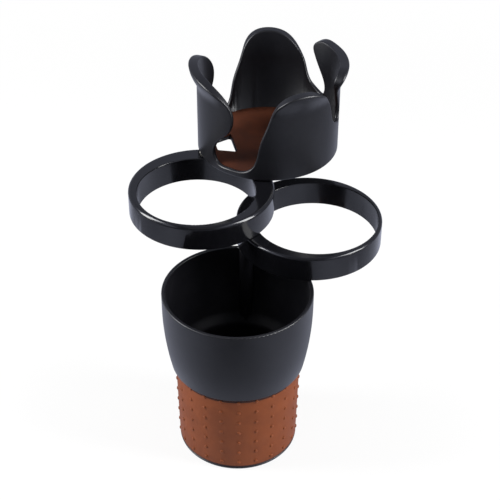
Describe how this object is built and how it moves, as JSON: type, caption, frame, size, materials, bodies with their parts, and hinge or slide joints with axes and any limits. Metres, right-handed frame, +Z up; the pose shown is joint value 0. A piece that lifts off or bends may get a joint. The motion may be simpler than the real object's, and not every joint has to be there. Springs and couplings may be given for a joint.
{
  "type": "car cup holder",
  "caption": "Plug-in car cup holder: tapered base cup with a dotted rubber grip, eccentric swing-out rings and a petal holder stacked above it.",
  "frame": {"origin": "centre of the base cup's foot, at the underside of the foot ring", "axes": "+Z up along the axis of the base cup; +Y from that axis towards the hinge at the cup's rim, the far side in the picture; +X to the right of it"},
  "size_m": [0.1536, 0.2024, 0.2007],
  "materials": {
    "body": "satin black",
    "grip": "brown, matt",
    "steel": "plain steel",
    "washer": "natural nylon"
  },
  "bodies": {
    "base": {"base_cup": "body", "grip_sleeve": "grip", "lower_hinge_screw": "steel", "lower_head_washer": "steel", "lower_friction_washer": "washer"},
    "lower_level": {"lower_ring": "body", "middle_hinge_screw": "steel", "middle_head_washer": "steel", "middle_friction_washer": "washer"},
    "upper_level": {"upper_ring": "body", "top_hinge_screw": "steel", "top_head_washer": "steel", "top_friction_washer": "washer"},
    "holder": {"petal_holder": "body", "holder_mat": "grip"}
  },
  "joints": [
    {"name": "lower_swivel", "type": "hinge", "parent": "base", "child": "lower_level", "pos_m": [0, 0.04, 0.1104], "axis": [0, 0, 1], "continuous": true},
    {"name": "upper_swivel", "type": "hinge", "parent": "lower_level", "child": "upper_level", "pos_m": [0.00349, 0.07985, 0.1264], "axis": [0, 0, 1], "continuous": true},
    {"name": "holder_swivel", "type": "hinge", "parent": "upper_level", "child": "holder", "pos_m": [-0.03277, 0.09675, 0.1424], "axis": [0, 0, 1], "continuous": true}
  ]
}
